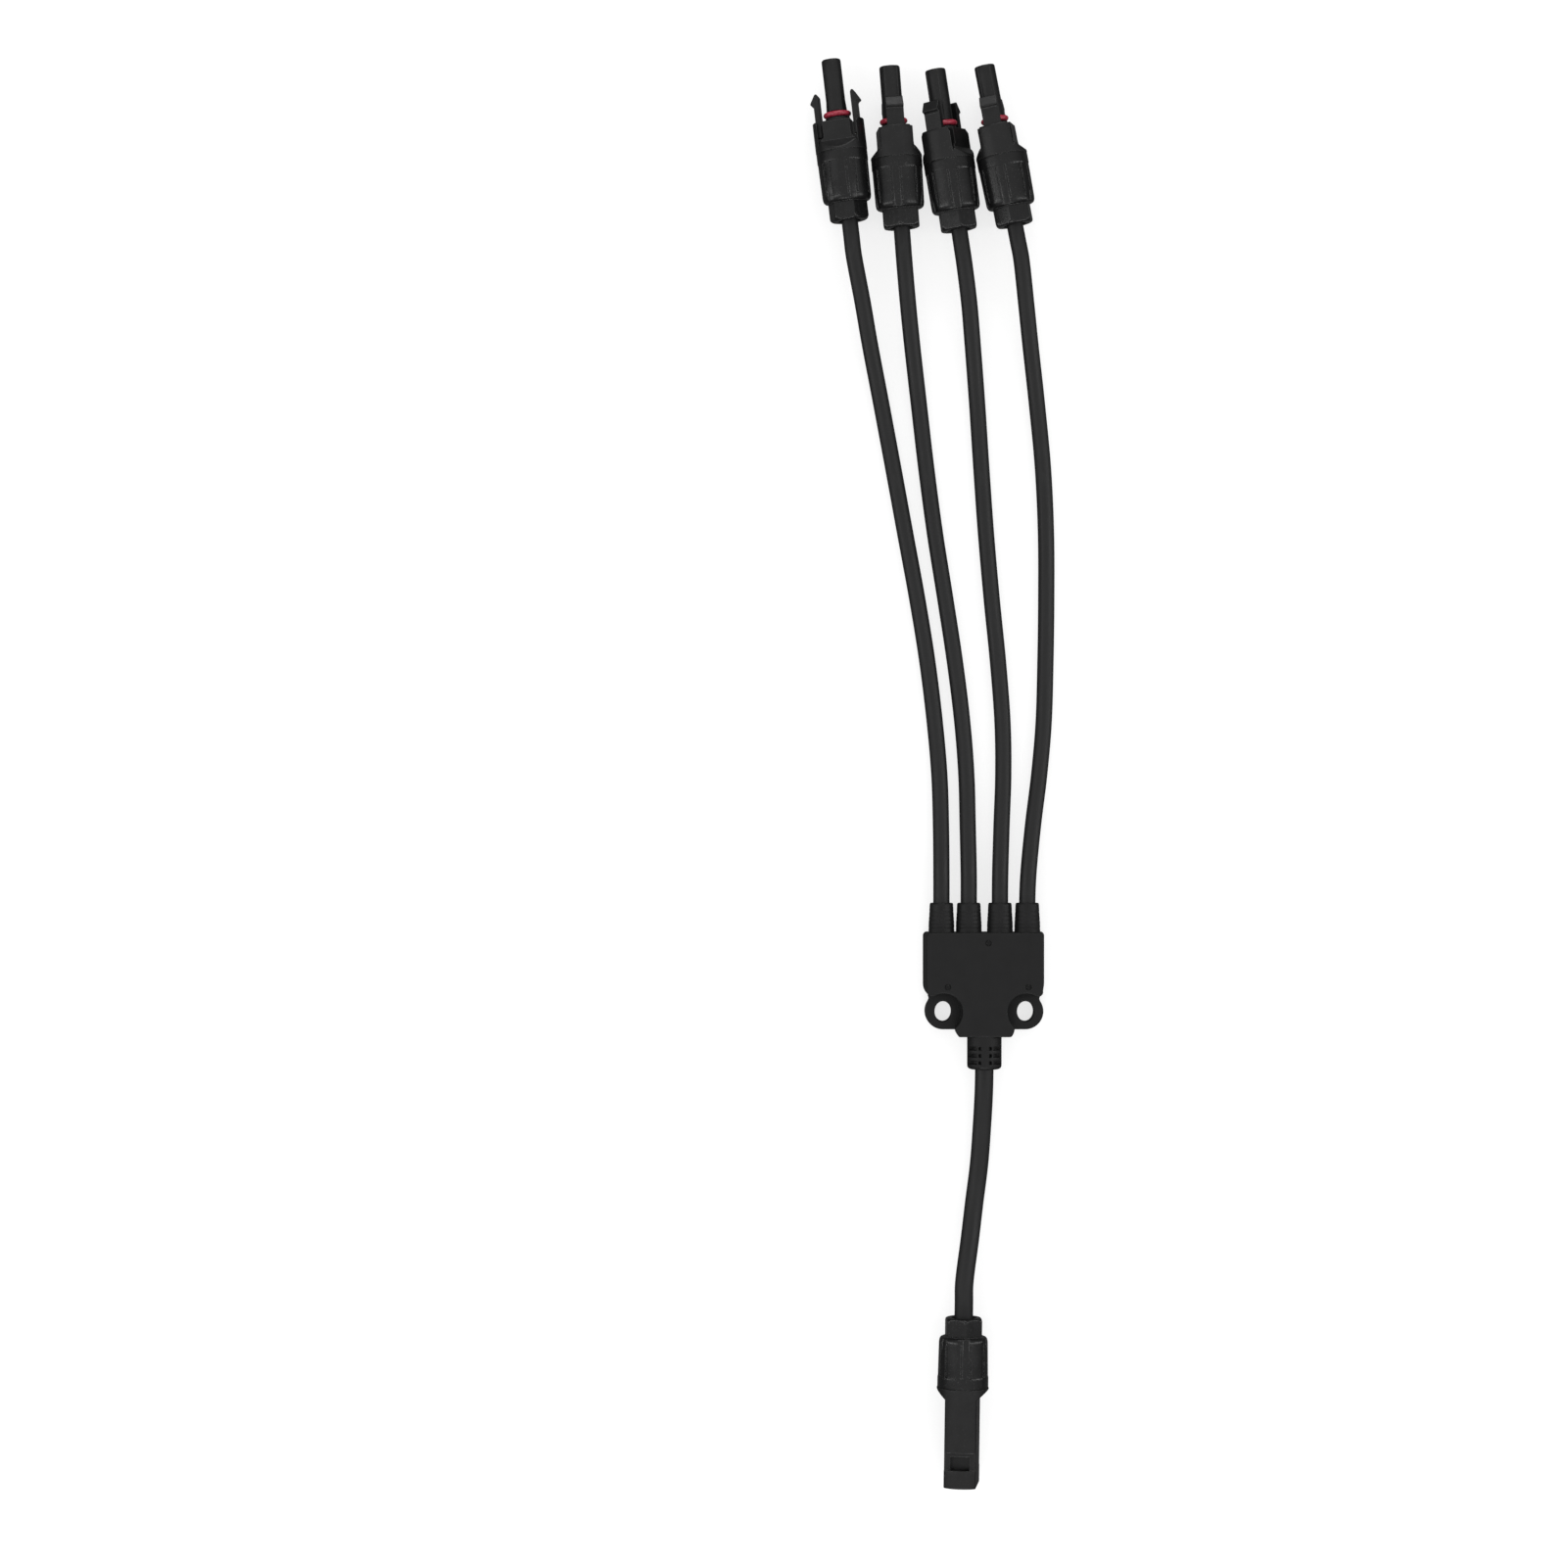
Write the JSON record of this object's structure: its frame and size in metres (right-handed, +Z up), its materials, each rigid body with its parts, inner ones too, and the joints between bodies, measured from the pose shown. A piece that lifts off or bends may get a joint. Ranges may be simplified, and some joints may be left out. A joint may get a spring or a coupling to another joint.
{
  "type": "solar branch connector",
  "caption": "Branch harness that joins latching solar cable connectors through a moulded junction with screw ears to one plug.",
  "frame": {"origin": "centre of the flat underside of the moulded junction", "axes": "+Y towards the four latching connectors, +Z up from the face that is screwed down, +X to the right seen from above"},
  "size_m": [0.0897, 0.5207, 0.0194],
  "materials": {
    "black_plastic": "satin moulded polyamide",
    "nut_plastic": "satin moulded polyamide",
    "cable_jacket": "matte cross-linked jacket",
    "junction_plastic": "fine matte moulded",
    "red_rubber": "satin silicone",
    "seal_rubber": "matte",
    "cage_plastic": "satin",
    "tinned_copper": "tin plated copper alloy",
    "copper": "bare copper",
    "inner_plastic": "matte"
  },
  "bodies": {
    "root": {"junction_overmould": "junction_plastic", "junction_inner_mould": "inner_plastic", "junction_splice_bar": "copper", "trunk_cable": "cable_jacket", "socket_1_housing": "black_plastic", "socket_1_contact": "tinned_copper", "socket_1_cable_seal": "seal_rubber", "socket_1_o_ring": "red_rubber", "branch_cable_1": "cable_jacket", "socket_2_housing": "black_plastic", "socket_2_contact": "tinned_copper", "socket_2_cable_seal": "seal_rubber", "socket_2_o_ring": "red_rubber", "branch_cable_2": "cable_jacket", "socket_3_housing": "black_plastic", "socket_3_contact": "tinned_copper", "socket_3_cable_seal": "seal_rubber", "socket_3_o_ring": "red_rubber", "branch_cable_3": "cable_jacket", "socket_4_housing": "black_plastic", "socket_4_contact": "tinned_copper", "socket_4_cable_seal": "seal_rubber", "socket_4_o_ring": "red_rubber", "branch_cable_4": "cable_jacket", "plug_housing": "black_plastic", "plug_contact": "tinned_copper", "plug_cable_seal": "seal_rubber"},
    "socket_1_gland": {"socket_1_clamp_cage": "cage_plastic"},
    "socket_1_nut": {"socket_1_cap_nut": "nut_plastic"},
    "socket_1_finger_a": {"socket_1_latch_a": "black_plastic"},
    "socket_1_finger_b": {"socket_1_latch_b": "black_plastic"},
    "socket_2_gland": {"socket_2_clamp_cage": "cage_plastic"},
    "socket_2_nut": {"socket_2_cap_nut": "nut_plastic"},
    "socket_2_finger_a": {"socket_2_latch_a": "black_plastic"},
    "socket_2_finger_b": {"socket_2_latch_b": "black_plastic"},
    "socket_3_gland": {"socket_3_clamp_cage": "cage_plastic"},
    "socket_3_nut": {"socket_3_cap_nut": "nut_plastic"},
    "socket_3_finger_a": {"socket_3_latch_a": "black_plastic"},
    "socket_3_finger_b": {"socket_3_latch_b": "black_plastic"},
    "socket_4_gland": {"socket_4_clamp_cage": "cage_plastic"},
    "socket_4_nut": {"socket_4_cap_nut": "nut_plastic"},
    "socket_4_finger_a": {"socket_4_latch_a": "black_plastic"},
    "socket_4_finger_b": {"socket_4_latch_b": "black_plastic"},
    "plug_gland": {"plug_clamp_cage": "cage_plastic"},
    "plug_nut": {"plug_cap_nut": "nut_plastic"}
  },
  "joints": [
    {"name": "socket_1_nut_travel", "type": "slide", "parent": "root", "child": "socket_1_gland", "axis": [0.1167, -0.9932, 0], "range_m": [0, 0.0135]},
    {"name": "socket_1_nut_turn", "type": "hinge", "parent": "socket_1_gland", "child": "socket_1_nut", "pos_m": [-0.0493, 0.2788, 0.0094], "axis": [0.1167, -0.9932, 0], "range_deg": [0, 3240]},
    {"name": "socket_1_latch_a_flex", "type": "hinge", "parent": "root", "child": "socket_1_finger_a", "pos_m": [-0.04619, 0.31098, 0.01061], "axis": [-0.1725, -0.0203, 0.9848], "range_deg": [0, 6], "stiffness_Nm_per_rad": 0.8},
    {"name": "socket_1_latch_b_flex", "type": "hinge", "parent": "root", "child": "socket_1_finger_b", "pos_m": [-0.05978, 0.30939, 0.00819], "axis": [0.1725, 0.0203, -0.9848], "range_deg": [0, 6], "stiffness_Nm_per_rad": 0.8},
    {"name": "socket_2_nut_travel", "type": "slide", "parent": "root", "child": "socket_2_gland", "axis": [0.0767, -0.9971, 0], "range_m": [0, 0.0135]},
    {"name": "socket_2_nut_turn", "type": "hinge", "parent": "socket_2_gland", "child": "socket_2_nut", "pos_m": [-0.0303, 0.2762, 0.0094], "axis": [0.0767, -0.9971, 0], "range_deg": [0, 3240]},
    {"name": "socket_2_latch_a_flex", "type": "hinge", "parent": "root", "child": "socket_2_finger_a", "pos_m": [-0.03224, 0.30774, 0.01633], "axis": [-0.9946, -0.0765, 0.0698], "range_deg": [0, 6], "stiffness_Nm_per_rad": 0.8},
    {"name": "socket_2_latch_b_flex", "type": "hinge", "parent": "root", "child": "socket_2_finger_b", "pos_m": [-0.03321, 0.30767, 0.00247], "axis": [0.9946, 0.0765, -0.0698], "range_deg": [0, 6], "stiffness_Nm_per_rad": 0.8},
    {"name": "socket_3_nut_travel", "type": "slide", "parent": "root", "child": "socket_3_gland", "axis": [0.1495, -0.9888, 0], "range_m": [0, 0.0135]},
    {"name": "socket_3_nut_turn", "type": "hinge", "parent": "socket_3_gland", "child": "socket_3_nut", "pos_m": [-0.0093, 0.2755, 0.0094], "axis": [0.1495, -0.9888, 0], "range_deg": [0, 3240]},
    {"name": "socket_3_latch_a_flex", "type": "hinge", "parent": "root", "child": "socket_3_finger_a", "pos_m": [-0.01757, 0.30621, 0.01536], "axis": [-0.8475, -0.1282, -0.515], "range_deg": [0, 6], "stiffness_Nm_per_rad": 0.8},
    {"name": "socket_3_latch_b_flex", "type": "hinge", "parent": "root", "child": "socket_3_finger_b", "pos_m": [-0.01049, 0.30728, 0.00344], "axis": [0.8475, 0.1282, 0.515], "range_deg": [0, 6], "stiffness_Nm_per_rad": 0.8},
    {"name": "socket_4_nut_travel", "type": "slide", "parent": "root", "child": "socket_4_gland", "axis": [0.1891, -0.982, 0], "range_m": [0, 0.0135]},
    {"name": "socket_4_nut_turn", "type": "hinge", "parent": "socket_4_gland", "child": "socket_4_nut", "pos_m": [0.011, 0.2773, 0.0094], "axis": [0.1891, -0.982, 0], "range_deg": [0, 3240]},
    {"name": "socket_4_latch_a_flex", "type": "hinge", "parent": "root", "child": "socket_4_finger_a", "pos_m": [0.00349, 0.30803, 0.01617], "axis": [-0.9568, -0.1842, -0.225], "range_deg": [0, 6], "stiffness_Nm_per_rad": 0.8},
    {"name": "socket_4_latch_b_flex", "type": "hinge", "parent": "root", "child": "socket_4_finger_b", "pos_m": [0.00656, 0.30863, 0.00263], "axis": [0.9568, 0.1842, 0.225], "range_deg": [0, 6], "stiffness_Nm_per_rad": 0.8},
    {"name": "plug_nut_travel", "type": "slide", "parent": "root", "child": "plug_gland", "axis": [0.014, 0.9999, 0], "range_m": [0, 0.0135]},
    {"name": "plug_nut_turn", "type": "hinge", "parent": "plug_gland", "child": "plug_nut", "pos_m": [-0.0077, -0.1214, 0.00965], "axis": [0.014, 0.9999, 0], "range_deg": [0, 3240]}
  ],
  "couplings": [
    {"joint": "socket_1_nut_turn", "follows": "socket_1_nut_travel", "rad_per_m": 4188.8},
    {"joint": "socket_2_nut_turn", "follows": "socket_2_nut_travel", "rad_per_m": 4188.8},
    {"joint": "socket_3_nut_turn", "follows": "socket_3_nut_travel", "rad_per_m": 4188.8},
    {"joint": "socket_4_nut_turn", "follows": "socket_4_nut_travel", "rad_per_m": 4188.8},
    {"joint": "plug_nut_turn", "follows": "plug_nut_travel", "rad_per_m": 4188.8}
  ]
}
